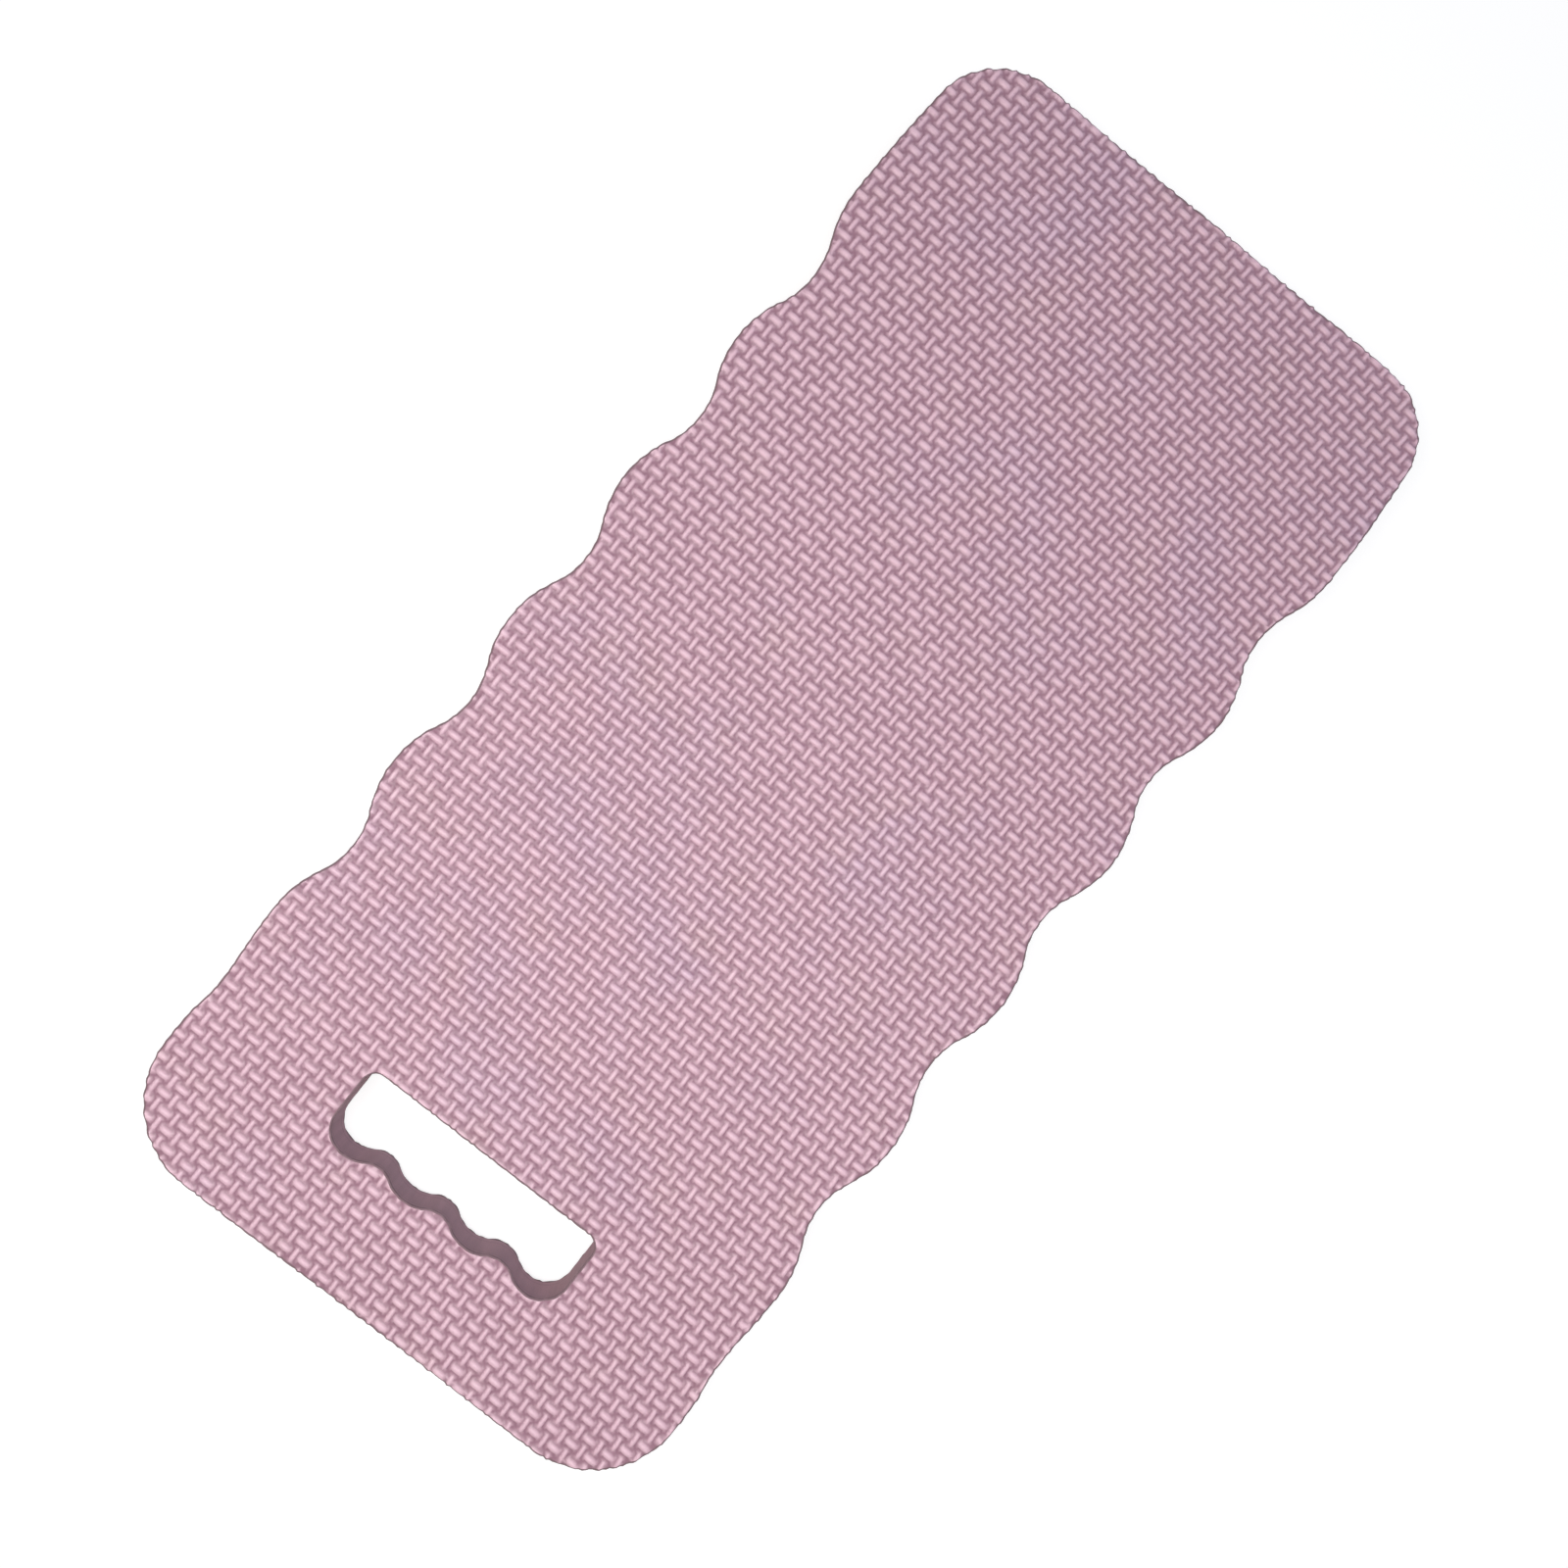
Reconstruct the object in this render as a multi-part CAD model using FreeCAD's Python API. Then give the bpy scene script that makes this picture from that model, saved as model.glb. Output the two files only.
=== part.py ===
"""Garden kneeling pad: a bonded stack of EVA foam sheets, die-cut in one stroke.

The stack is, from the ground up: a ground sheet, a bond film, a core sheet, a
bond film and a kneeling sheet. All five share one outline, because the stack is
bonded first and the steel-rule die then cuts it through. The outline has waved
long sides, rounded corners and a hand slot with four finger hollows.

Frame: +X runs along the pad towards the hand slot, +Y across it, +Z up.
The origin is the centre of the pad's box, on the ground. Millimetres.
"""

import FreeCAD
import Part
import math
import os

# ---- Driving dimensions -------------------------------------------------

PAD_LENGTH = 390.0
PAD_WIDTH = 176.0  # across the crests of the waved sides
PAD_THICKNESS = 15.0

# The stack, from the ground up.
GROUND_SHEET = 3.0
KNEELING_SHEET = 3.0
BOND_FILM = 0.2

# Rounded corners at the two ends.
FAR_CORNER_RADIUS = 23.0
SLOT_CORNER_RADIUS = 28.0

# Waved long sides: full hollows at one pitch, and a shallow one beside the slot.
WAVE_PITCH = 50.9
WAVE_DEPTH = 6.0
WAVE_COUNT = 5
FIRST_HOLLOW_X = -108.3
HOLLOW_SHARE = 0.42  # a hollow's share of the two radii that make one wave flank
SHALLOW_HOLLOW_X = 147.0
SHALLOW_DEPTH = 1.4
SLOT_END_CREST_X = 161.0
FAR_END_CREST_X = -137.0
FAR_END_LOBE_RADIUS = 500.0

# Hand slot, near the +X end.
SLOT_LENGTH = 79.0
SLOT_INNER_X = 139.5  # its straight side, towards the middle of the pad
SLOT_HOLLOW_X = 162.5  # bottom of the finger hollows
FINGER_COUNT = 4
FINGER_PITCH = 21.0
FINGER_DEPTH = 3.1
FINGER_HOLLOW_SHARE = 0.57
SLOT_INNER_RADIUS = 4.0

# ---- Sizes worked out from them -----------------------------------------

HALF_LENGTH = PAD_LENGTH / 2
HALF_WIDTH = PAD_WIDTH / 2
CORE_SHEET = PAD_THICKNESS - GROUND_SHEET - KNEELING_SHEET - 2 * BOND_FILM
SLOT_HALF = SLOT_LENGTH / 2
SLOT_OUTER_RADIUS = SLOT_HALF - FINGER_PITCH * (FINGER_COUNT - 1) / 2


# ---- Outline tools ------------------------------------------------------


def point(x, y):
    return FreeCAD.Vector(x, y, 0)


def line(start, end):
    return Part.LineSegment(point(*start), point(*end)).toShape()


def arc(start, middle, end):
    return Part.Arc(point(*start), point(*middle), point(*end)).toShape()


def arc_about(centre, start, end):
    """The shorter arc about centre, from start to end."""
    radius = math.dist(centre, start)
    middle_x = (start[0] + end[0]) / 2 - centre[0]
    middle_y = (start[1] + end[1]) / 2 - centre[1]
    stretch = radius / math.hypot(middle_x, middle_y)
    middle = (centre[0] + middle_x * stretch, centre[1] + middle_y * stretch)
    return arc(start, middle, end)


def flank(start, end, start_share):
    """Two tangent arcs from one turning point of a wave to the next.

    The wave runs along x at both points. The radii add up to a sum fixed by the
    two points, and start_share is the first arc's part of that sum.
    """
    run = end[0] - start[0]
    rise = end[1] - start[1]
    radii = (run * run + rise * rise) / (2 * abs(rise))
    start_radius = start_share * radii
    side = math.copysign(1, rise)
    start_centre = (start[0], start[1] + side * start_radius)
    end_centre = (end[0], end[1] - side * (radii - start_radius))
    meeting = (
        start_centre[0] + (end_centre[0] - start_centre[0]) * start_share,
        start_centre[1] + (end_centre[1] - start_centre[1]) * start_share,
    )
    return [
        arc_about(start_centre, start, meeting),
        arc_about(end_centre, meeting, end),
    ]


def wave(turning_points, first_is_hollow, hollow_share):
    """Tangent arcs through turning points that are hollows and crests by turns."""
    edges = []
    hollow = first_is_hollow
    for start, end in zip(turning_points, turning_points[1:]):
        share = hollow_share if hollow else 1 - hollow_share
        edges += flank(start, end, share)
        hollow = not hollow
    return edges


def mirrored(edges):
    """The same edges across the pad's long middle line."""
    return [edge.mirror(point(0, 0), point(0, 1)) for edge in edges]


# ---- Outline of the pad -------------------------------------------------


def side_turning_points():
    """Crests and hollows of one long side, from the far end to the slot end."""
    points = [(FAR_END_CREST_X, HALF_WIDTH)]
    for index in range(WAVE_COUNT):
        hollow_x = FIRST_HOLLOW_X + index * WAVE_PITCH
        points.append((hollow_x, HALF_WIDTH - WAVE_DEPTH))
        points.append((hollow_x + WAVE_PITCH / 2, HALF_WIDTH))
    points.append((SHALLOW_HOLLOW_X, HALF_WIDTH - SHALLOW_DEPTH))
    points.append((SLOT_END_CREST_X, HALF_WIDTH))
    return points


def far_corner():
    """The far end's lobe and its corner, which is tangent to lobe and end."""
    lobe_centre = (FAR_END_CREST_X, HALF_WIDTH - FAR_END_LOBE_RADIUS)
    corner_x = FAR_CORNER_RADIUS - HALF_LENGTH
    between = FAR_END_LOBE_RADIUS - FAR_CORNER_RADIUS
    across = corner_x - lobe_centre[0]
    corner_y = lobe_centre[1] + math.sqrt(between * between - across * across)
    stretch = FAR_END_LOBE_RADIUS / between
    meeting = (
        lobe_centre[0] + across * stretch,
        lobe_centre[1] + (corner_y - lobe_centre[1]) * stretch,
    )
    end = (-HALF_LENGTH, corner_y)
    edges = [
        arc_about(lobe_centre, (FAR_END_CREST_X, HALF_WIDTH), meeting),
        arc_about((corner_x, corner_y), meeting, end),
    ]
    return edges, corner_y


def slot_end_corner():
    """The straight and the corner from the last crest to the slot end."""
    corner_x = HALF_LENGTH - SLOT_CORNER_RADIUS
    corner_y = HALF_WIDTH - SLOT_CORNER_RADIUS
    start = (corner_x, HALF_WIDTH)
    edges = [
        line((SLOT_END_CREST_X, HALF_WIDTH), start),
        arc_about((corner_x, corner_y), start, (HALF_LENGTH, corner_y)),
    ]
    return edges, corner_y


def pad_outline():
    far, far_y = far_corner()
    near, near_y = slot_end_corner()
    one_side = far + wave(side_turning_points(), False, HOLLOW_SHARE) + near
    ends = [
        line((-HALF_LENGTH, far_y), (-HALF_LENGTH, -far_y)),
        line((HALF_LENGTH, near_y), (HALF_LENGTH, -near_y)),
    ]
    return closed_wire(one_side + mirrored(one_side) + ends)


# ---- Outline of the hand slot -------------------------------------------


def slot_outline():
    """Straight side, two ends, and four finger hollows with ridges between."""
    ridge_x = SLOT_HOLLOW_X - FINGER_DEPTH
    first_y = -FINGER_PITCH * (FINGER_COUNT - 1) / 2
    # The wave is laid out along x and then turned onto the slot's outer side.
    points = []
    for index in range(FINGER_COUNT):
        along = first_y + index * FINGER_PITCH
        points.append((along, SLOT_HOLLOW_X))
        if index < FINGER_COUNT - 1:
            points.append((along + FINGER_PITCH / 2, ridge_x))
    fingers = wave(points, True, FINGER_HOLLOW_SHARE)
    for edge in fingers:
        edge.rotate(point(0, 0), FreeCAD.Vector(0, 0, 1), -90)

    outer_x = SLOT_HOLLOW_X - SLOT_OUTER_RADIUS
    outer_y = SLOT_HALF - SLOT_OUTER_RADIUS
    inner_x = SLOT_INNER_X + SLOT_INNER_RADIUS
    inner_y = SLOT_HALF - SLOT_INNER_RADIUS
    end = [
        arc_about((outer_x, outer_y), (SLOT_HOLLOW_X, outer_y), (outer_x, SLOT_HALF)),
        line((outer_x, SLOT_HALF), (inner_x, SLOT_HALF)),
        arc_about((inner_x, inner_y), (inner_x, SLOT_HALF), (SLOT_INNER_X, inner_y)),
    ]
    straight = [line((SLOT_INNER_X, inner_y), (SLOT_INNER_X, -inner_y))]
    return closed_wire(fingers + end + mirrored(end) + straight)


def closed_wire(edges):
    wire = Part.Wire(Part.__sortEdges__(edges))
    if not wire.isClosed():
        raise ValueError("the outline is open")
    return wire


# ---- The stack ----------------------------------------------------------


def die_cut(bottom, thickness):
    """One layer of the stack, cut to the outline, with the hand slot through it."""
    face = Part.Face([pad_outline(), slot_outline()])
    face.translate(FreeCAD.Vector(0, 0, bottom))
    return face.extrude(FreeCAD.Vector(0, 0, thickness))


STACK = [
    ("ground_sheet", GROUND_SHEET),
    ("lower_bond_film", BOND_FILM),
    ("core_sheet", CORE_SHEET),
    ("upper_bond_film", BOND_FILM),
    ("kneeling_sheet", KNEELING_SHEET),
]


def build():
    os.makedirs("parts", exist_ok=True)
    bottom = 0.0
    for name, thickness in STACK:
        layer = die_cut(bottom, thickness)
        if not layer.isValid() or len(layer.Solids) != 1:
            raise ValueError(name + " is not one valid solid")
        layer.exportStep("parts/" + name + ".step")
        print(name, round(bottom, 3), round(bottom + thickness, 3), round(layer.Volume))
        bottom += thickness


build()
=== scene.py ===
"""Garden kneeling pad: five bonded layers of EVA foam and hot melt, die-cut in one stroke.

Lengths are in metres. +X runs towards the hand slot, +Y across the pad, +Z up.
"""

import math

import bpy
import bmesh
import numpy as np
from mathutils import Matrix, Vector, kdtree
from mathutils.geometry import delaunay_2d_cdt


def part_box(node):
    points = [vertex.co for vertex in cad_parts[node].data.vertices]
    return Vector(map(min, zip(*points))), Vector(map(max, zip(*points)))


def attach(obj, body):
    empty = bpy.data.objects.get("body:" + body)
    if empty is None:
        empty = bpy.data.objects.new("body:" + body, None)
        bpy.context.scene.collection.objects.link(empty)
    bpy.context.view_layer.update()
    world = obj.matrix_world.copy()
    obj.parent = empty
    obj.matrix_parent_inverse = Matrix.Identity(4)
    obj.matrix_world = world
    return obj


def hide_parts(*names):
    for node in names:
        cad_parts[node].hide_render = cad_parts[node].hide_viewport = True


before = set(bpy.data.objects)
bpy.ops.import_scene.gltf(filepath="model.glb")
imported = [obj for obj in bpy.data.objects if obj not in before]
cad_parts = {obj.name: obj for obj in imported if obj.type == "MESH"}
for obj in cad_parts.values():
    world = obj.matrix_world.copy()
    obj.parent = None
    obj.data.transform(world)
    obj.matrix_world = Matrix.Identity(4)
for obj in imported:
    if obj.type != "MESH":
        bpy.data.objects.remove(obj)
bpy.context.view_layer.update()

# ---------------------------------------------------------------------------
# Core sheet. The thick plain middle layer, split from a block of closed-cell EVA foam.
# The steel-rule die has cut it with the whole stack, so its wall is slightly dished
# and shows the foam's cells and the faint lines that the blade drew down it.

MM = 0.001
EDGE_STEP = 0.95 * MM  # spacing of points round the cut edge
STACK_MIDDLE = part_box("kneeling_sheet")[1].z / 2  # height of the stack's middle plane
DISH = 0.35 * MM  # how far the wall's middle sits inside the die line
CORE_WALL_ROWS = 9
SAME_PLACE = 1e-6  # points nearer to each other than this are one
UPWARD = 0.9  # least normal.z of an upper face
STRAIGHT_RATIO = 3  # a length this many times its neighbour's is a straight beside an arc's chord
FINE_POINTS = 4  # points of the smoothed outline to each step
CAP_SLACK = 1e-9  # how near to a line a point is taken to lie on it
FACE, WALL, HIDDEN = 0, 1, 2  # a layer's faces: woven, cut, or flat against the next layer
RIM_BAND_FROM, RIM_BAND_FULL = 1.6 * MM, 1.0 * MM  # how far inside the faces the wall's thin darker band fades in
RIM_BAND_SHADE = 0.43  # how much of the foam's brightness that line keeps
PORE_SHARE = 0.6  # weight of the pores beside the finer grain


def cut_loops(node):
    """The pad's outline and the slot's, as closed lists of points, from a layer's upper face."""
    shape = bmesh.new()
    shape.from_mesh(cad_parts[node].data)
    bmesh.ops.remove_doubles(shape, verts=shape.verts, dist=SAME_PLACE)
    upper = {face for face in shape.faces if face.normal.z > UPWARD}
    follows = {}
    for edge in shape.edges:
        ups = [face in upper for face in edge.link_faces]
        if len(ups) == 2 and ups[0] != ups[1]:
            a, b = edge.verts
            follows.setdefault(a, []).append(b)
            follows.setdefault(b, []).append(a)
    loops = []
    while follows:
        start = next(iter(follows))
        loop, last, here = [], None, start
        while here is not None:
            loop.append(here.co.xy.copy())
            ways = [v for v in follows.pop(here) if v is not last and v in follows]
            last, here = here, (ways[0] if ways else None)
        loops.append(loop)
    shape.free()
    return sorted(loops, key=len, reverse=True)


def rounded(loop, step):
    """A loop of arc and line points made smooth, then spaced evenly."""
    count = len(loop)
    tangents = []
    for k in range(count):
        back, ahead = loop[k] - loop[k - 1], loop[(k + 1) % count] - loop[k]
        ratio = ahead.length / back.length
        # A straight run keeps its own direction; between arc chords the circle's tangent is taken.
        if ratio < 1 / STRAIGHT_RATIO:
            tangent = back
        elif ratio > STRAIGHT_RATIO:
            tangent = ahead
        else:
            tangent = back * ratio + ahead * (1 / ratio)
        tangents.append(tangent.normalized())
    fine = []
    for k in range(count):
        a, b = loop[k], loop[(k + 1) % count]
        reach = (b - a).length
        pieces = max(2, round(FINE_POINTS * reach / step))
        for n in range(pieces):
            t = n / pieces
            fine.append(
                a * (2 * t**3 - 3 * t**2 + 1)
                + b * (3 * t**2 - 2 * t**3)
                + tangents[k] * reach * (t**3 - 2 * t**2 + t)
                + tangents[(k + 1) % count] * reach * (t**3 - t**2)
            )
    points = np.array(fine)
    along = np.linalg.norm(np.roll(points, -1, axis=0) - points, axis=1)
    places = np.concatenate([[0.0], np.cumsum(along)])
    wanted = np.linspace(0.0, places[-1], round(places[-1] / step), endpoint=False)
    closed = np.vstack([points, points[:1]])
    return np.stack([np.interp(wanted, places, closed[:, axis]) for axis in (0, 1)], axis=1)


def inside(points, loop):
    """True for each point that lies inside the loop."""
    odd = np.zeros(len(points), bool)
    x, y = points[:, 0], points[:, 1]
    for (x0, y0), (x1, y1) in zip(loop, np.roll(loop, -1, axis=0)):
        if y0 != y1:
            crosses = (y0 > y) != (y1 > y)
            odd ^= crosses & (x < x0 + (y - y0) * (x1 - x0) / (y1 - y0))
    return odd


def foam_on_left(loop, outer):
    """The loop, run so that the foam lies on its left."""
    ahead = np.roll(loop, -1, axis=0)
    area = np.sum(loop[:, 0] * ahead[:, 1] - ahead[:, 0] * loop[:, 1])
    return loop if (area > 0) == outer else loop[::-1]


def outward(loop):
    """Unit normals of a loop, pointing out of the foam."""
    along = np.roll(loop, -1, axis=0) - np.roll(loop, 1, axis=0)
    along /= np.linalg.norm(along, axis=1)[:, None]
    return np.column_stack([along[:, 1], -along[:, 0]])


pad_line, slot_line = [rounded(loop, EDGE_STEP) for loop in cut_loops("kneeling_sheet")]
cut_lines = [foam_on_left(pad_line, True), foam_on_left(slot_line, False)]
cut_normals = [outward(line) for line in cut_lines]


def dish(z):
    """How far the cut wall sits inside the die line at a height."""
    return DISH * (1 - ((z - STACK_MIDDLE) / STACK_MIDDLE) ** 2)


def capped(rings, fill, laid_out):
    """Triangles between the outer ring and the slot's, through the fill points if there are any.
    laid_out gives the places of points in the plane in which those triangles are chosen."""
    points = laid_out(np.vstack([*rings, fill])) if len(fill) else np.vstack(rings)
    ring_edges, start = [], 0
    for ring in rings:
        ring_edges += [(start + k, start + (k + 1) % len(ring)) for k in range(len(ring))]
        start += len(ring)
    _, _, faces, sources, _, _ = delaunay_2d_cdt(
        [Vector(place) for place in points.tolist()], ring_edges, [], 0, CAP_SLACK, True
    )
    faces = [tuple(sources[v][0] for v in face) for face in faces]
    # Faces beyond the cut lines use no fill point. They are found by walking in from the lines.
    beside = {}
    for index, face in enumerate(faces):
        if max(face) < start:
            for a, b in zip(face, face[1:] + face[:1]):
                beside[a, b] = index
    walls = set(ring_edges) | {(b, a) for a, b in ring_edges}
    reached = {beside[b, a] for a, b in ring_edges if (b, a) in beside}
    beyond = set()
    while reached:
        index = reached.pop()
        beyond.add(index)
        face = faces[index]
        for a, b in zip(face, face[1:] + face[:1]):
            if (b, a) in beside and (a, b) not in walls and beside[b, a] not in beyond:
                reached.add(beside[b, a])
    return [face for index, face in enumerate(faces) if index not in beyond]


def inset(distances):
    """The cut lines moved into the foam, by one distance or by one for each point."""
    if np.isscalar(distances):
        distances = [np.full(len(line), distances) for line in cut_lines]
    return [
        line - normals * distance[:, None]
        for line, normals, distance in zip(cut_lines, cut_normals, distances)
    ]


def cut_layer(name, materials, rows, fill=(), fill_height=None, laid_out=None):
    """One closed layer. materials are for its woven face and for all the rest. rows are its
    wall's rings and their heights, from the woven face to the other one. fill are the points of
    the woven face, fill_height gives their heights, and laid_out is as in capped."""
    verts, faces, kinds, rings = [], [], [], []
    for ring, heights in rows:
        rings.append((len(verts), ring))
        for k, places in enumerate(ring):
            level = np.full(len(places), heights) if np.isscalar(heights) else heights[k]
            verts += np.column_stack([places, level]).tolist()
    for (upper, _), (lower, ring) in zip(rings, rings[1:]):
        start = 0
        for line in ring:
            count = len(line)
            for k in range(count):
                a, b = start + k, start + (k + 1) % count
                faces.append((upper + a, lower + a, lower + b, upper + b))
                kinds.append(WALL)
            start += count
    edge_count = sum(len(line) for line in cut_lines)
    for (first, ring), inner in ((rings[0], fill), (rings[-1], ())):
        cap = capped(ring, inner, laid_out)
        shift = len(verts) - edge_count
        if len(inner):
            verts += np.column_stack([inner, fill_height(inner)]).tolist()
            kinds += [FACE] * len(cap)
        else:
            kinds += [HIDDEN] * len(cap)
        for face in cap:
            faces.append([v + (first if v < edge_count else shift) for v in face])
    mesh = bpy.data.meshes.new(name)
    mesh.from_pydata(verts, [], faces)
    shape = bmesh.new()
    shape.from_mesh(mesh)
    bmesh.ops.recalc_face_normals(shape, faces=shape.faces)
    for face, kind in zip(shape.faces, kinds):
        # The flat hidden faces stay flat, so that the wall's shading stops at them.
        face.smooth = kind != HIDDEN
        face.material_index = 0 if kind == FACE else 1
    for edge in shape.edges:
        edge.smooth = all(face.smooth for face in edge.link_faces)
    shape.to_mesh(mesh)
    shape.free()
    for material in materials:
        mesh.materials.append(material)
    layer = bpy.data.objects.new(name, mesh)
    bpy.context.collection.objects.link(layer)
    return layer


def wall_rows(top, bottom, count):
    """Even rows of the dished wall between two heights."""
    return [(inset(dish(z)), z) for z in np.linspace(top, bottom, count)]


def effect(name, inputs, outputs):
    """An empty shader node group with these inputs and outputs."""
    group = bpy.data.node_groups.new(name, "ShaderNodeTree")
    for in_out, sockets in (("INPUT", inputs), ("OUTPUT", outputs)):
        for label, kind in sockets:
            group.interface.new_socket(label, in_out=in_out, socket_type="NodeSocket" + kind)
    return group, group.nodes.new("NodeGroupInput"), group.nodes.new("NodeGroupOutput")


def placed(tree, kind, **values):
    """A new node in a tree, with its properties and its sockets' values set by name."""
    node = tree.nodes.new("ShaderNode" + kind)
    for label, value in values.items():
        if hasattr(node, label):
            setattr(node, label, value)
        else:
            node.inputs[label.replace("_", " ")].default_value = value
    return node


# The foam's cells: pores of a size in mm with a finer grain, and how much they darken the foam.
foam_cells, cells_in, cells_out = effect(
    "foam_cells",
    [("Cell Size", "Float"), ("Darkening", "Float")],
    [("Shade", "Float"), ("Height", "Float")],
)
place = placed(foam_cells, "TexCoord")
per_metre = placed(foam_cells, "Math", operation="DIVIDE")
per_metre.inputs[0].default_value = 1 / MM
foam_cells.links.new(cells_in.outputs["Cell Size"], per_metre.inputs[1])
pores = placed(foam_cells, "TexVoronoi", feature="F1", Randomness=1.0)
foam_cells.links.new(place.outputs["Object"], pores.inputs["Vector"])
foam_cells.links.new(per_metre.outputs[0], pores.inputs["Scale"])
grain = placed(foam_cells, "TexNoise", Scale=5200.0, Detail=2.0, Roughness=0.6)
foam_cells.links.new(place.outputs["Object"], grain.inputs["Vector"])
both = placed(foam_cells, "Math", operation="MULTIPLY_ADD")
both.inputs[1].default_value = PORE_SHARE
foam_cells.links.new(pores.outputs["Distance"], both.inputs[0])
foam_cells.links.new(grain.outputs["Fac"], both.inputs[2])
foam_cells.links.new(both.outputs[0], cells_out.inputs["Height"])
shade = placed(foam_cells, "MapRange", From_Min=0.45, From_Max=1.0, To_Max=1.0)
foam_cells.links.new(both.outputs[0], shade.inputs["Value"])
shallow = placed(foam_cells, "Math", operation="SUBTRACT")
shallow.inputs[0].default_value = 1.0
foam_cells.links.new(cells_in.outputs["Darkening"], shallow.inputs[1])
foam_cells.links.new(shallow.outputs[0], shade.inputs["To Min"])
foam_cells.links.new(shade.outputs[0], cells_out.inputs["Shade"])

# The dye: a dusty pink that drifts towards lilac and towards a warmer pink in faint patches.
dye, dye_in, dye_out = effect(
    "foam_dye",
    [("Pink", "Color"), ("Lilac", "Color"), ("Warm", "Color"), ("Shade", "Float")],
    [("Color", "Color")],
)
place = placed(dye, "TexCoord")
tone = dye_in.outputs["Pink"]
for label, scale, detail, roughness, low, high, most in (
    ("Lilac", 26.0, 3.0, 0.55, 0.52, 0.72, 1.0),
    ("Warm", 60.0, 2.0, 0.5, 0.55, 0.75, 0.7),
):
    patches = placed(dye, "TexNoise", Scale=scale, Detail=detail, Roughness=roughness)
    dye.links.new(place.outputs["Object"], patches.inputs["Vector"])
    mask = placed(dye, "MapRange", From_Min=low, From_Max=high, To_Max=most)
    dye.links.new(patches.outputs["Fac"], mask.inputs["Value"])
    drift = placed(dye, "Mix", data_type="RGBA")
    dye.links.new(mask.outputs[0], drift.inputs[0])
    dye.links.new(tone, drift.inputs[6])
    dye.links.new(dye_in.outputs[label], drift.inputs[7])
    tone = drift.outputs[2]
shaded = placed(dye, "Mix", data_type="RGBA", blend_type="MULTIPLY")
shaded.inputs[0].default_value = 1.0
dye.links.new(tone, shaded.inputs[6])
dye.links.new(dye_in.outputs["Shade"], shaded.inputs[7])
dye.links.new(shaded.outputs[2], dye_out.inputs["Color"])

# How far a point lies above or below the stack's middle plane.
off_middle, _, off_middle_out = effect("off_middle", [], [("Distance", "Float")])
place = placed(off_middle, "TexCoord")
height = placed(off_middle, "SeparateXYZ")
off_middle.links.new(place.outputs["Object"], height.inputs[0])
from_middle = placed(off_middle, "Math", operation="SUBTRACT")
from_middle.inputs[1].default_value = STACK_MIDDLE
off_middle.links.new(height.outputs["Z"], from_middle.inputs[0])
either_side = placed(off_middle, "Math", operation="ABSOLUTE")
off_middle.links.new(from_middle.outputs[0], either_side.inputs[0])
off_middle.links.new(either_side.outputs[0], off_middle_out.inputs["Distance"])


def foam_material(name, cell_size, darkening, bump, roughness):
    """Dyed EVA foam with cells of a size in mm. Returns the material, its tree, and its cells'
    and its dye's nodes."""
    material = bpy.data.materials.new(name)
    material.use_nodes = True
    tree = material.node_tree
    surface = tree.nodes["Principled BSDF"]
    surface.inputs["Roughness"].default_value = roughness
    surface.inputs["IOR"].default_value = 1.45
    cells = placed(tree, "Group", node_tree=foam_cells)
    cells.inputs["Cell Size"].default_value = cell_size
    cells.inputs["Darkening"].default_value = darkening
    colour = placed(tree, "Group", node_tree=dye)
    tree.links.new(cells.outputs["Shade"], colour.inputs["Shade"])
    tree.links.new(colour.outputs["Color"], surface.inputs["Base Color"])
    relief = placed(tree, "Bump", Strength=bump, Distance=0.1 * MM)
    tree.links.new(cells.outputs["Height"], relief.inputs["Height"])
    tree.links.new(relief.outputs["Normal"], surface.inputs["Normal"])
    return material, tree, cells, colour


def set_dye(colour, pink, lilac, warm):
    """The three tones of one use of the dye."""
    colour.inputs["Pink"].default_value = (*pink, 1)
    colour.inputs["Lilac"].default_value = (*lilac, 1)
    colour.inputs["Warm"].default_value = (*warm, 1)


cut_foam, tree, cells, colour = foam_material(
    "cut_foam", cell_size=0.3, darkening=0.16, bump=0.6, roughness=0.8
)
set_dye(colour, pink=(0.63, 0.405, 0.46), lilac=(0.605, 0.4, 0.465), warm=(0.63, 0.41, 0.45))
# Along both rims the wall is darker in a thin band near the stack's outer faces.
distance = placed(tree, "Group", node_tree=off_middle)
rim_band = placed(tree, "MapRange", interpolation_type="SMOOTHSTEP", To_Min=1.0, To_Max=RIM_BAND_SHADE)
rim_band.inputs["From Min"].default_value = STACK_MIDDLE - RIM_BAND_FROM
rim_band.inputs["From Max"].default_value = STACK_MIDDLE - RIM_BAND_FULL
tree.links.new(distance.outputs["Distance"], rim_band.inputs["Value"])
# The blade drew faint lines straight down the wall as it went through.
place = placed(tree, "TexCoord")
stretched = placed(tree, "Mapping", Scale=(1, 1, 0.06))
tree.links.new(place.outputs["Object"], stretched.inputs["Vector"])
drawn = placed(tree, "TexNoise", Scale=420.0, Detail=3.0, Roughness=0.55)
tree.links.new(stretched.outputs[0], drawn.inputs["Vector"])
blade_lines = placed(tree, "MapRange", From_Min=0.32, From_Max=0.68, To_Min=0.91, To_Max=1.05)
tree.links.new(drawn.outputs["Fac"], blade_lines.inputs["Value"])
shade = cells.outputs["Shade"]
for factor in (rim_band, blade_lines):
    product = placed(tree, "Math", operation="MULTIPLY")
    tree.links.new(shade, product.inputs[0])
    tree.links.new(factor.outputs[0], product.inputs[1])
    shade = product.outputs[0]
tree.links.new(shade, colour.inputs["Shade"])

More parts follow.
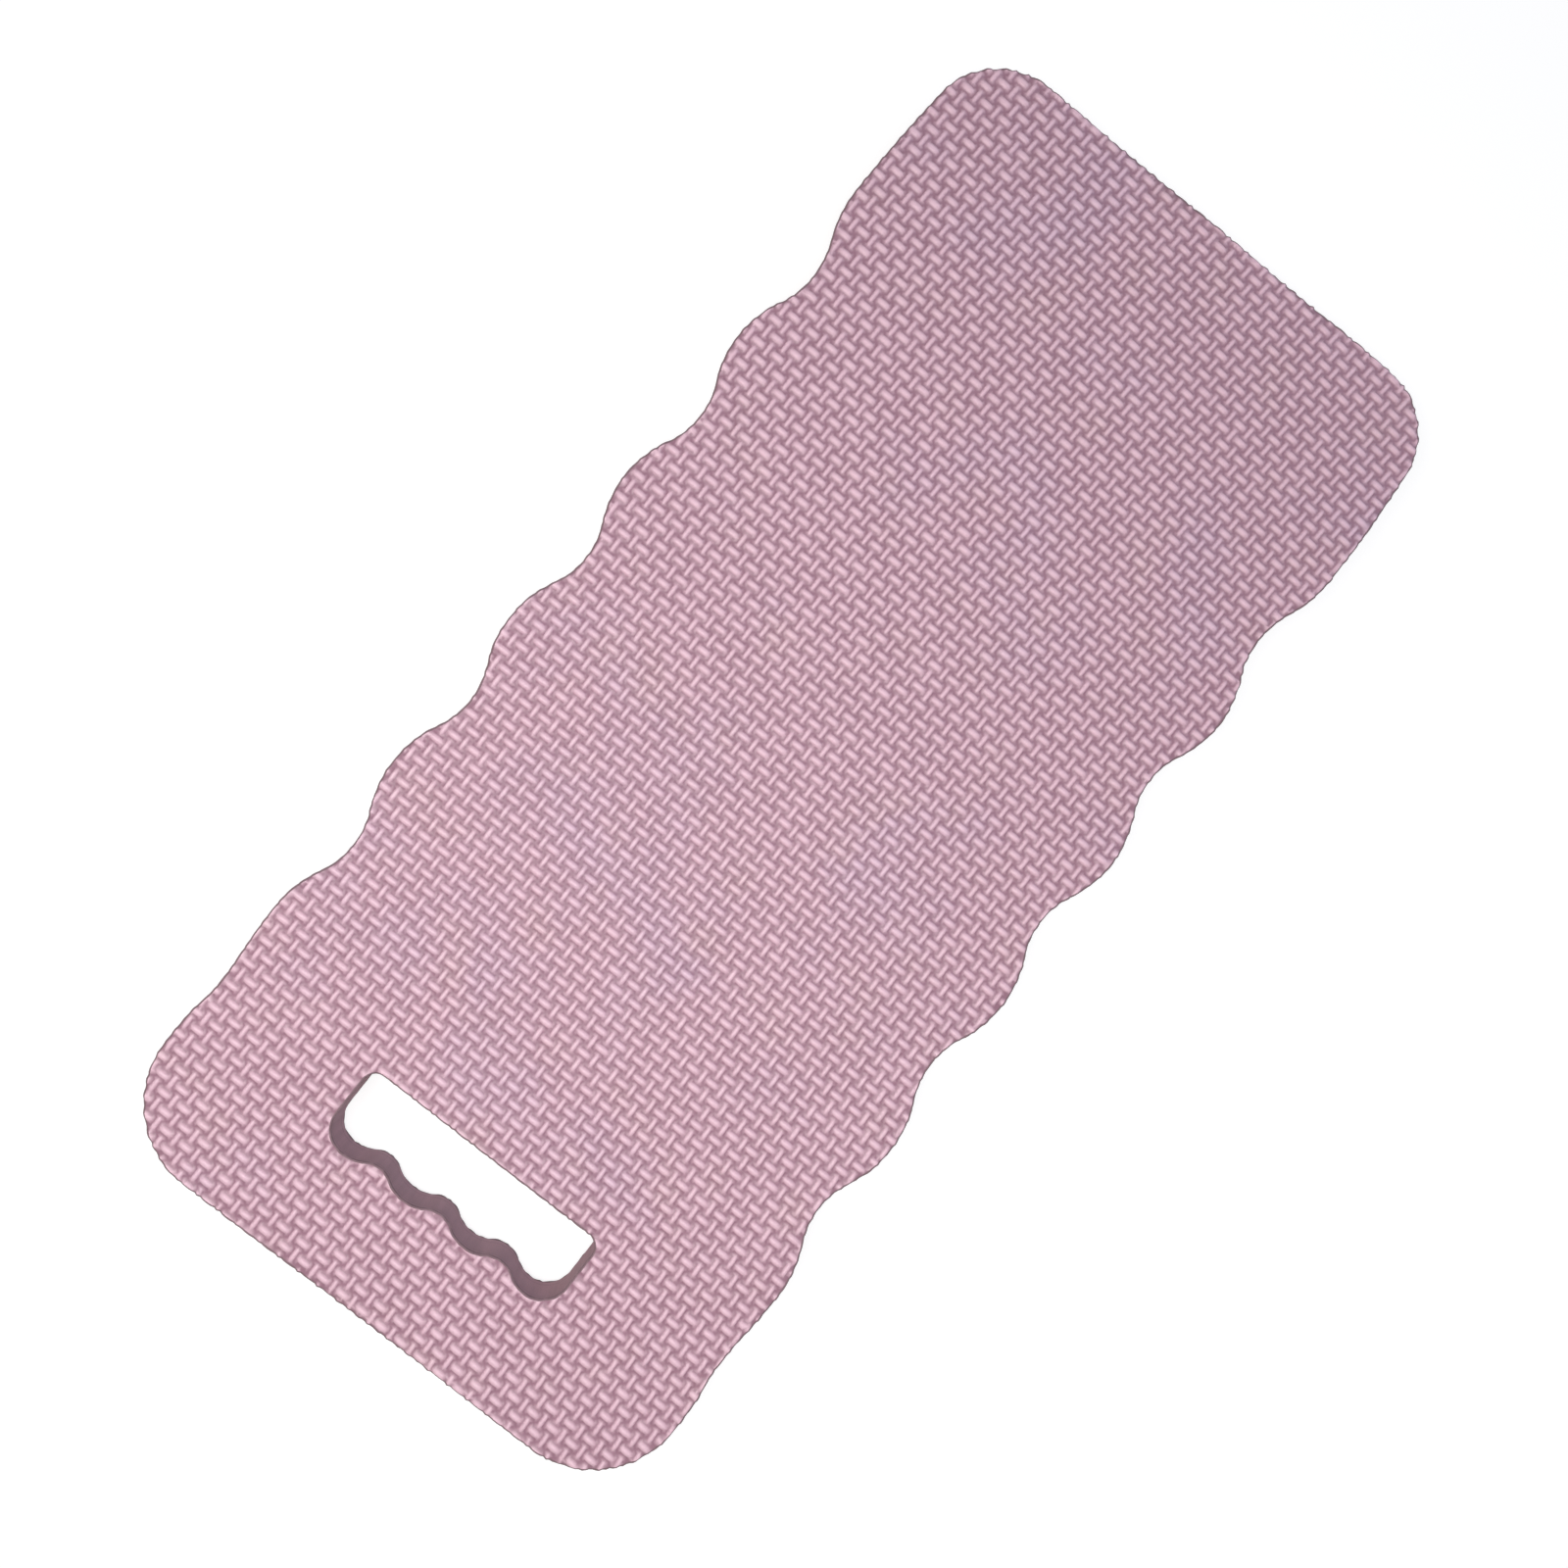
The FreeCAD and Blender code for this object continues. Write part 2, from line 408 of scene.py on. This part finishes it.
low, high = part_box("core_sheet")
core_rows = wall_rows(high.z, low.z, CORE_WALL_ROWS)
core = cut_layer("core_foam_sheet", (cut_foam, cut_foam), core_rows)
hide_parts("core_sheet")
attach(core, "root")

# ---------------------------------------------------------------------------
# Bond films. Two thin layers of hot melt that hold the sheets together.
# The die has cut them with the foam, so only a fine line of each shows in the wall.

bond_film, _, _, colour = foam_material(
    "bond_film", cell_size=0.25, darkening=0.1, bump=0.3, roughness=0.8
)
set_dye(colour, pink=(0.42, 0.27, 0.31), lilac=(0.41, 0.27, 0.32), warm=(0.42, 0.27, 0.305))
for node, name in (("lower_bond_film", "lower_bond"), ("upper_bond_film", "upper_bond")):
    low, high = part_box(node)
    film = cut_layer(name, (bond_film, bond_film), wall_rows(high.z, low.z, 2))
    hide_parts(node)
    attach(film, "root")

# ---------------------------------------------------------------------------
# Ground sheet and kneeling sheet. Two thin EVA sheets, each hot-pressed on a roller that
# leaves a basket weave of raised floats, then bonded to the core with the weave outside.
# The die has cut through the floats wherever its line ran.

FLOATS_X, FLOATS_Y = 50.8, 26.05  # pitches of the weave in half the pad's length and width
# How far the weave is drawn askew, in pitches, where x and y run from -1 to 1 over the pad.
LEAN = (0.31, -0.37, 0.89)  # of the rows across: terms of y, x y and x^2 y
SHIFT = (0.14, 0.2)  # of the same rows: terms of x^2 - y^2 and x y^2
BOW = (1.23, 1.26, -0.8)  # of the rows along: terms of x, x^2 and x^3
CLOSING_UP = (0.33, -0.63)  # of the same rows: terms of x y and x^2 y
WEAVE_DEPTH = 0.95 * MM
CROSS_FLOAT = (0.315, 0.79)  # half width and half length, in pitches, of the fat floats along Y
LONG_FLOAT = (0.262, 0.755)  # the same of the narrow floats along X
SIDE_CURVE, END_CURVE = 2.1, 2.7  # how square a float is across it and along it: 2 is round
WANDER = 0.02  # how far a float may sit off its place, in pitches
WIDTH_SPREAD = 0.06  # share by which a float may be narrower or wider
HEIGHT_SPREAD = 0.05  # the lowest float is lower than the highest by twice this share
# Mesh points of one float, as shares of its half width and half length: its back, then its feet.
FLOAT_POINTS = [(w, a) for w in (-0.58, 0.0, 0.58) for a in (-0.62, -0.22, 0.22, 0.62)]
FLOAT_POINTS += [(w, a) for w in (-0.97, 0.97) for a in (-0.4, 0.0, 0.4)]
HALF_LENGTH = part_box("kneeling_sheet")[1].x
HALF_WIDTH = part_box("kneeling_sheet")[1].y
EDGE_CLEAR = 0.6 * MM  # no mesh point of the weave comes nearer to the rim
# The rounded rim's rows, in mm: how far in at a float, how far in between floats, how far down.
RIM_ROWS = ((0.55, 0.62, 0), (0.15, 0.22, 0.14), (0, 0.07, 0.38))
RIM_FOOT = 0.55 * MM  # the plain wall starts this far below the ground between floats
SPARE_ROWS = (3, 5)  # rows of floats laid out beyond the pad's box, along X and along Y
CLOSING_ROUNDS = 8  # corrections that bring a place in pitches to its place in metres
CREST_HIGHLIGHT_DEPTH = 0.08 * MM  # down to this far below the crests a float has its full painted highlight


def weave_count(places, start):
    """Places in pitches of the weave. The sheet was drawn a little askew as it left the roller,
    so its rows bow, by up to 1.7 pitches, and lean, most of all at the far end."""
    x, y = places[:, 0] / HALF_LENGTH, places[:, 1] / HALF_WIDTH
    lean = LEAN[0] + LEAN[1] * x + LEAN[2] * x**2
    across = FLOATS_X * x - lean * y + SHIFT[0] * (x**2 - y**2) + SHIFT[1] * x * y**2
    bow = BOW[0] * x + BOW[1] * x**2 + BOW[2] * x**3
    along = (FLOATS_Y + CLOSING_UP[0] * x + CLOSING_UP[1] * x**2) * y - bow
    return start[0] + across, start[1] + along


def weave_place(across, along, start):
    """Places of lattice points given in pitches, found by closing in on them."""
    places = np.zeros((len(across), 2))
    for _ in range(CLOSING_ROUNDS):
        there = weave_count(places, start)
        places[:, 0] += (across - there[0]) * HALF_LENGTH / FLOATS_X
        places[:, 1] += (along - there[1]) * HALF_WIDTH / FLOATS_Y
    return places


def chance(i, j, seed):
    """A repeatable number from -1 to 1 for one float: the far digits of a large sine."""
    mixed = np.sin(i * 12.9898 + j * 78.233 + seed * 37.719) * 43758.5453
    return 2 * (mixed - np.floor(mixed)) - 1


def swell(places, start):
    """How high the embossed face stands: 1 on a float's back, 0 on the ground between floats."""
    across, along = weave_count(places, start)
    near_i, near_j = np.floor(across + 0.5), np.floor(along + 0.5)
    best = np.zeros(len(places))
    for step_i in (-1, 0, 1):
        for step_j in (-1, 0, 1):
            i, j = near_i + step_i, near_j + step_j
            off_x = np.abs(across - i - WANDER * chance(i, j, 1))
            off_y = np.abs(along - j - WANDER * chance(i, j, 2))
            is_cross = (i + j) % 2 == 0
            side = np.where(is_cross, off_x / CROSS_FLOAT[0], off_y / LONG_FLOAT[0])
            end = np.where(is_cross, off_y / CROSS_FLOAT[1], off_x / LONG_FLOAT[1])
            side = side * (1 + WIDTH_SPREAD * chance(i, j, 3))
            height = np.clip(1 - side**SIDE_CURVE, 0, 1) * np.clip(1 - end**END_CURVE, 0, 1)
            height *= 1 - HEIGHT_SPREAD + HEIGHT_SPREAD * chance(i, j, 4)
            best = np.maximum(best, height)
    return best


def weave_fill(start, rim):
    """Mesh points on the floats and the ground between them, clear of the rim."""
    reach_i, reach_j = math.ceil(FLOATS_X) + SPARE_ROWS[0], math.ceil(FLOATS_Y) + SPARE_ROWS[1]
    spots = []
    for i in range(math.floor(start[0]) - reach_i, math.floor(start[0]) + reach_i):
        for j in range(math.floor(start[1]) - reach_j, math.floor(start[1]) + reach_j):
            if (i + j) % 2 == 0:
                wide, long = CROSS_FLOAT
                spots += [(i + w * wide, j + a * long) for w, a in FLOAT_POINTS]
            else:
                wide, long = LONG_FLOAT
                spots += [(i + a * long, j + w * wide) for w, a in FLOAT_POINTS]
            spots.append((i + 0.5, j + 0.5))
    points = weave_place(*np.array(spots).T, start)
    points = points[inside(points, rim[0]) & ~inside(points, rim[1])]
    edge = kdtree.KDTree(sum(len(line) for line in rim))
    for k, (x, y) in enumerate(np.vstack(rim)):
        edge.insert((x, y, 0), k)
    edge.balance()
    clear = [edge.find((x, y, 0))[2] > EDGE_CLEAR for x, y in points]
    return points[clear]


def embossed_layer(name, node, up, start):
    """One embossed sheet, its woven face up or down, with the weave's place at the pad's middle."""
    low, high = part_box(node)
    crest, back, sign = (high.z, low.z, 1) if up else (low.z, high.z, -1)
    stand = [swell(line, start) for line in cut_lines]

    def face(places):
        return crest - sign * WEAVE_DEPTH * (1 - swell(places, start))

    def in_pitches(places):
        return np.column_stack(weave_count(places, start))

    # The blade has rounded the rim. It came in from the upper face, where it has left each float
    # standing out a little over the ground beside it.
    rows = []
    for float_inset, ground_inset, drop in RIM_ROWS:
        pull = ground_inset - float_inset if up else 0
        ring = inset([(float_inset + pull * (1 - s)) * MM for s in stand])
        rows.append((ring, [face(places) - sign * drop * MM for places in ring]))
    rows += wall_rows(crest - sign * (WEAVE_DEPTH + RIM_FOOT), back, 2)
    fill = weave_fill(start, rows[0][0])
    return cut_layer(name, (woven_foam, cut_foam), rows, fill, face, in_pitches)


woven_foam, tree, _, colour = foam_material(
    "woven_foam", cell_size=0.45, darkening=0.06, bump=0.25, roughness=0.36
)
# Between the floats the face is painted darker, as shade in the hollows, and towards the crests it
# is painted lighter, as highlight.
distance = placed(tree, "Group", node_tree=off_middle)
painted_light_by_height = placed(tree, "MapRange", interpolation_type="SMOOTHSTEP")
painted_light_by_height.inputs["From Min"].default_value = STACK_MIDDLE - WEAVE_DEPTH
painted_light_by_height.inputs["From Max"].default_value = STACK_MIDDLE - CREST_HIGHLIGHT_DEPTH
tree.links.new(distance.outputs["Distance"], painted_light_by_height.inputs["Value"])
# each tone: its painted shade for the ground between floats, then its painted highlight for the
# crests
for label, groove_shade, crest in (
    ("Pink", (0.345, 0.18, 0.24, 1), (0.9, 0.606, 0.71, 1)),
    ("Lilac", (0.332, 0.18, 0.248, 1), (0.863, 0.6, 0.728, 1)),
    ("Warm", (0.345, 0.187, 0.231, 1), (0.9, 0.622, 0.689, 1)),
):
    tone = placed(tree, "Mix", data_type="RGBA")
    tone.inputs[6].default_value = groove_shade
    tone.inputs[7].default_value = crest
    tree.links.new(painted_light_by_height.outputs[0], tone.inputs[0])
    tree.links.new(tone.outputs[2], colour.inputs[label])

for name, node, up, start in (
    ("ground_foam_sheet", "ground_sheet", False, (1.3, -0.6)),
    ("kneeling_foam_sheet", "kneeling_sheet", True, (-2.37, -0.12)),
):
    sheet = embossed_layer(name, node, up, start)
    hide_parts(node)
    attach(sheet, "root")

# ---------------------------------------------------------------------------
# The studio: a white floor, a broad soft lamp overhead towards the slot end, and a cooler one
# from beyond the far end. The floor and the world look white but light the pad far less than
# that, so that its hollows keep their depth.

FLOOR_REACH = 3.0
FLOOR_GAP = 0.05 * MM  # the floor lies this far under the pad
FLOOR_GREY = 0.35  # what the floor gives back of the lamps' light
FLOOR_GLOW = 0.78  # what makes it look white
WORLD_LIGHT = 0.141  # the world's strength as a light on the pad


def seen_directly(tree):
    """1 where the camera looks, also by a reflection or through a clear piece, and 0 for light."""
    path = placed(tree, "LightPath")
    seen = path.outputs["Is Camera Ray"]
    for ray in ("Is Glossy Ray", "Is Transmission Ray"):
        either = placed(tree, "Math", operation="MAXIMUM")
        tree.links.new(seen, either.inputs[0])
        tree.links.new(path.outputs[ray], either.inputs[1])
        seen = either.outputs[0]
    return seen


corners = [(-FLOOR_REACH, -FLOOR_REACH, 0), (FLOOR_REACH, -FLOOR_REACH, 0)]
corners += [(FLOOR_REACH, FLOOR_REACH, 0), (-FLOOR_REACH, FLOOR_REACH, 0)]
floor_mesh = bpy.data.meshes.new("floor")
floor_mesh.from_pydata(corners, [], [(0, 1, 2, 3)])
floor = bpy.data.objects.new("floor", floor_mesh)
floor.location.z = -FLOOR_GAP
bpy.context.collection.objects.link(floor)
floor_white = bpy.data.materials.new("floor_white")
floor_white.use_nodes = True
tree = floor_white.node_tree
surface = tree.nodes["Principled BSDF"]
surface.inputs["Base Color"].default_value = (FLOOR_GREY, FLOOR_GREY, FLOOR_GREY, 1)
surface.inputs["Roughness"].default_value = 0.9
surface.inputs["Specular IOR Level"].default_value = 0.0
lift = placed(tree, "Math", operation="MULTIPLY")
lift.inputs[1].default_value = FLOOR_GLOW
tree.links.new(seen_directly(tree), lift.inputs[0])
glow = placed(tree, "Emission", Color=(1, 1, 1, 1))
tree.links.new(lift.outputs[0], glow.inputs["Strength"])
added = placed(tree, "AddShader")
tree.links.new(surface.outputs[0], added.inputs[0])
tree.links.new(glow.outputs[0], added.inputs[1])
tree.links.new(added.outputs[0], tree.nodes["Material Output"].inputs["Surface"])
floor.data.materials.append(floor_white)


def lamp(name, place, aim, size, power, colour):
    """A rectangular soft lamp that faces a point; its size is along X and along Y."""
    light = bpy.data.lights.new(name, "AREA")
    light.shape = "RECTANGLE"
    light.size, light.size_y = size
    light.energy = power
    light.color = colour
    holder = bpy.data.objects.new(name, light)
    holder.location = place
    facing = (Vector(place) - Vector(aim)).normalized()
    across = Vector((0, 1, 0)).cross(facing).normalized()
    turn = Matrix((across, facing.cross(across), facing)).transposed()
    holder.rotation_euler = turn.to_euler()
    bpy.context.collection.objects.link(holder)


lamp(
    "key",
    place=(0.125, -0.075, 0.57),
    aim=(0.1, -0.03, 0),
    size=(0.3, 0.6),
    power=3.08,
    colour=(1.0, 0.975, 0.945),
)
lamp(
    "far_fill",
    place=(-0.75, 0.3, 0.7),
    aim=(-0.1, 0, 0),
    size=(0.6, 0.6),
    power=1.71,
    colour=(0.567, 0.694, 1.0),
)

world = bpy.data.worlds.new("studio")
world.use_nodes = True
tree = world.node_tree
background = tree.nodes["Background"]
background.inputs["Color"].default_value = (1, 1, 1, 1)
level = placed(tree, "MapRange", To_Min=WORLD_LIGHT, To_Max=1.0)
tree.links.new(seen_directly(tree), level.inputs["Value"])
tree.links.new(level.outputs[0], background.inputs["Strength"])
bpy.context.scene.world = world
bpy.context.scene.view_settings.view_transform = "Standard"

camera = bpy.data.objects.new("camera", bpy.data.cameras.new("camera"))
camera.data.lens = 30.83
camera.location = (27.6 * MM, -15.3 * MM, 389.5 * MM)
camera.rotation_euler = [math.radians(turn) for turn in (0.807, -3.710, 128.39)]
camera.data.clip_start = 0.01
bpy.context.collection.objects.link(camera)
bpy.context.scene.camera = camera
